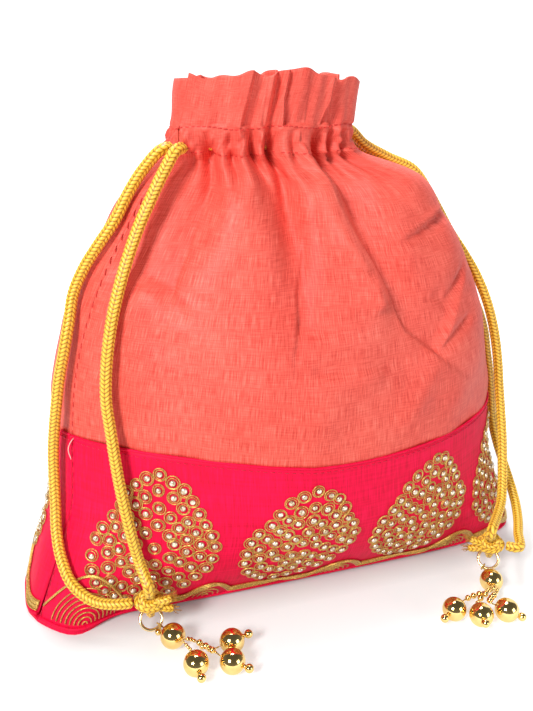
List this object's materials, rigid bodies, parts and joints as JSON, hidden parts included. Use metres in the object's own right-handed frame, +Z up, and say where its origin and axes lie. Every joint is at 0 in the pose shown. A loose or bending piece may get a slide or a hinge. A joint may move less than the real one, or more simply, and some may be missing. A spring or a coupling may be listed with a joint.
{
  "type": "drawstring potli bag",
  "caption": "Gathered drawstring potli bag with a flat stitched base, a band of gold embroidery, a ruffled neck, and cords ending in ringed bead tassels.",
  "frame": {"origin": "middle of the flat underside of the base", "axes": "+X along the width towards the bag's own right-hand seam in the picture, +Z up, front at -Y"},
  "size_m": [0.2346, 0.1407, 0.2115],
  "materials": {
    "upper_silk": "coral raw silk with a slight sheen",
    "band_silk": "hot pink finely ribbed silk",
    "gold_embroidery": "couched gold wire with pale faceted stones",
    "gold_cord": "soft braided yellow-gold cord",
    "gold_ring": "polished gold plate",
    "gold_beads": "polished gold plate",
    "small_gold_beads": "polished gold plate",
    "tassel_thread": "waxed thread"
  },
  "bodies": {
    "bag": {"band_back": "band_silk", "band_front": "band_silk", "base_panel": "band_silk", "couched_border_back": "gold_embroidery", "couched_border_front": "gold_embroidery", "left_cord_in_casing": "gold_cord", "left_front_cord": "gold_cord", "left_knot": "gold_cord", "left_rear_cord": "gold_cord", "motif_back_1": "gold_embroidery", "motif_back_2": "gold_embroidery", "motif_back_3": "gold_embroidery", "motif_back_4": "gold_embroidery", "motif_front_1": "gold_embroidery", "motif_front_2": "gold_embroidery", "motif_front_3": "gold_embroidery", "motif_front_4": "gold_embroidery", "right_cord_in_casing": "gold_cord", "right_front_cord": "gold_cord", "right_knot": "gold_cord", "right_rear_cord": "gold_cord", "upper_back": "upper_silk", "upper_front": "upper_silk"},
    "left_ring_body": {"left_ring": "gold_ring"},
    "left_crown_body": {"left_thread_loop": "tassel_thread", "left_thread": "tassel_thread", "left_collar_bead": "gold_beads", "left_crown_bead": "gold_beads"},
    "left_back_dangle": {"left_back_strand": "small_gold_beads", "left_back_bead": "gold_beads", "left_back_stopper": "gold_beads"},
    "left_front_dangle": {"left_front_strand": "small_gold_beads", "left_front_bead": "gold_beads", "left_front_stopper": "gold_beads"},
    "left_near_dangle": {"left_near_strand": "small_gold_beads", "left_near_bead": "gold_beads", "left_near_stopper": "gold_beads"},
    "right_ring_body": {"right_ring": "gold_ring"},
    "right_crown_body": {"right_thread_loop": "tassel_thread", "right_thread": "tassel_thread", "right_collar_bead": "gold_beads", "right_crown_bead": "gold_beads"},
    "right_back_dangle": {"right_back_strand": "small_gold_beads", "right_back_bead": "gold_beads", "right_back_stopper": "gold_beads"},
    "right_front_dangle": {"right_front_strand": "small_gold_beads", "right_front_bead": "gold_beads", "right_front_stopper": "gold_beads"},
    "right_near_dangle": {"right_near_strand": "small_gold_beads", "right_near_bead": "gold_beads", "right_near_stopper": "gold_beads"}
  },
  "joints": [
    {"name": "left_ring_swing", "type": "hinge", "parent": "bag", "child": "left_ring_body", "pos_m": [-0.0687, -0.0376, 0.0108], "axis": [-0.9922, 0.125, 0], "range_deg": [0, 30]},
    {"name": "left_tassel_swing", "type": "hinge", "parent": "left_ring_body", "child": "left_crown_body", "pos_m": [-0.06596, -0.04253, 0.00529], "axis": [-0.6987, -0.4031, -0.5911], "range_deg": [0, 28]},
    {"name": "left_back_dangle_swing", "type": "hinge", "parent": "left_crown_body", "child": "left_back_dangle", "pos_m": [-0.05797, -0.05366, 0.00528], "axis": [-0.3383, -0.9411, 0], "range_deg": [0, 27]},
    {"name": "left_front_dangle_swing", "type": "hinge", "parent": "left_crown_body", "child": "left_front_dangle", "pos_m": [-0.05797, -0.05366, 0.00528], "axis": [-0.7567, -0.6538, 0], "range_deg": [0, 27]},
    {"name": "left_near_dangle_swing", "type": "hinge", "parent": "left_crown_body", "child": "left_near_dangle", "pos_m": [-0.05797, -0.05366, 0.00528], "axis": [-0.9963, -0.0864, 0], "range_deg": [0, 27]},
    {"name": "right_ring_swing", "type": "hinge", "parent": "bag", "child": "right_ring_body", "pos_m": [0.0841, -0.045, 0.0108], "axis": [-0.7915, 0.6112, 0], "range_deg": [0, 30]},
    {"name": "right_tassel_swing", "type": "hinge", "parent": "right_ring_body", "child": "right_crown_body", "pos_m": [0.07942, -0.04805, 0.0044], "axis": [-0.5531, 0.7667, 0.3261], "range_deg": [0, 28]},
    {"name": "right_back_dangle_swing", "type": "hinge", "parent": "right_crown_body", "child": "right_back_dangle", "pos_m": [0.07483, -0.06363, 0.00528], "axis": [-0.2622, 0.965, 0], "range_deg": [0, 27]},
    {"name": "right_front_dangle_swing", "type": "hinge", "parent": "right_crown_body", "child": "right_front_dangle", "pos_m": [0.07483, -0.06363, 0.00528], "axis": [-0.6553, 0.7554, 0], "range_deg": [0, 27]},
    {"name": "right_near_dangle_swing", "type": "hinge", "parent": "right_crown_body", "child": "right_near_dangle", "pos_m": [0.07483, -0.06363, 0.00528], "axis": [-0.9728, 0.2316, 0], "range_deg": [0, 27]}
  ]
}
